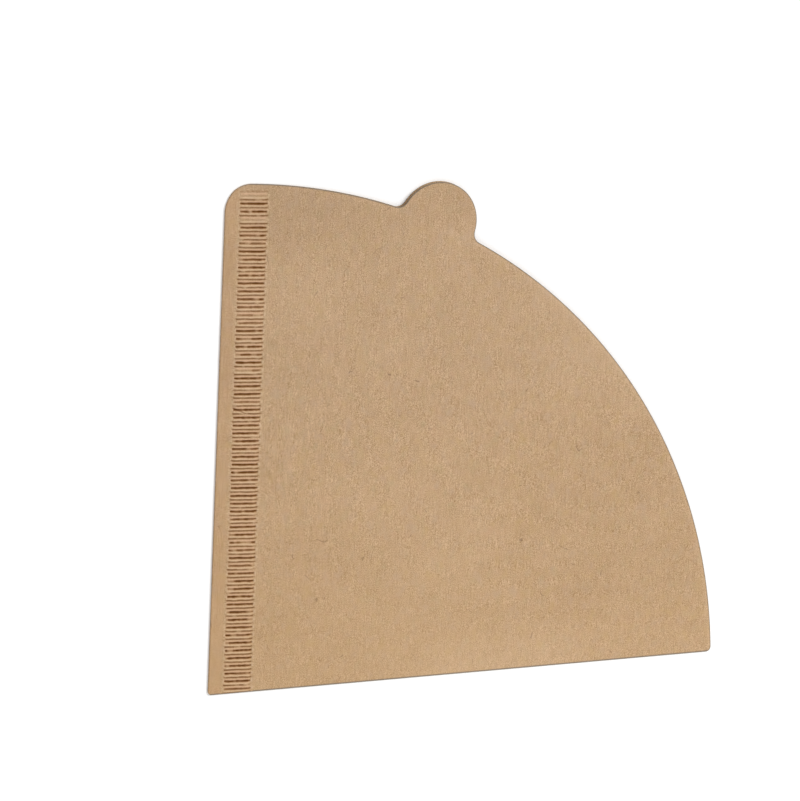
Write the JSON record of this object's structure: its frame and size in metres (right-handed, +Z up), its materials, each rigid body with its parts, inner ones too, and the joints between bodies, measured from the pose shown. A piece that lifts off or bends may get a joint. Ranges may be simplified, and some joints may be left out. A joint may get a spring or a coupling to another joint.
{
  "type": "paper coffee filter",
  "caption": "Cone-shaped paper coffee filter, lying folded flat, with a crimped seam and a round pull tab on its open mouth.",
  "frame": {"origin": "centre of the bounding box, on the underside that the filter rests on", "axes": "+X along the fold, away from the tip; +Y along the crimped seam, towards the open mouth; +Z up through the two leaves"},
  "size_m": [0.1544, 0.1427, 0.0022],
  "materials": {
    "paper": "unbleached creped paper, matt"
  },
  "bodies": {
    "root": {"filter_paper": "paper"}
  },
  "joints": []
}
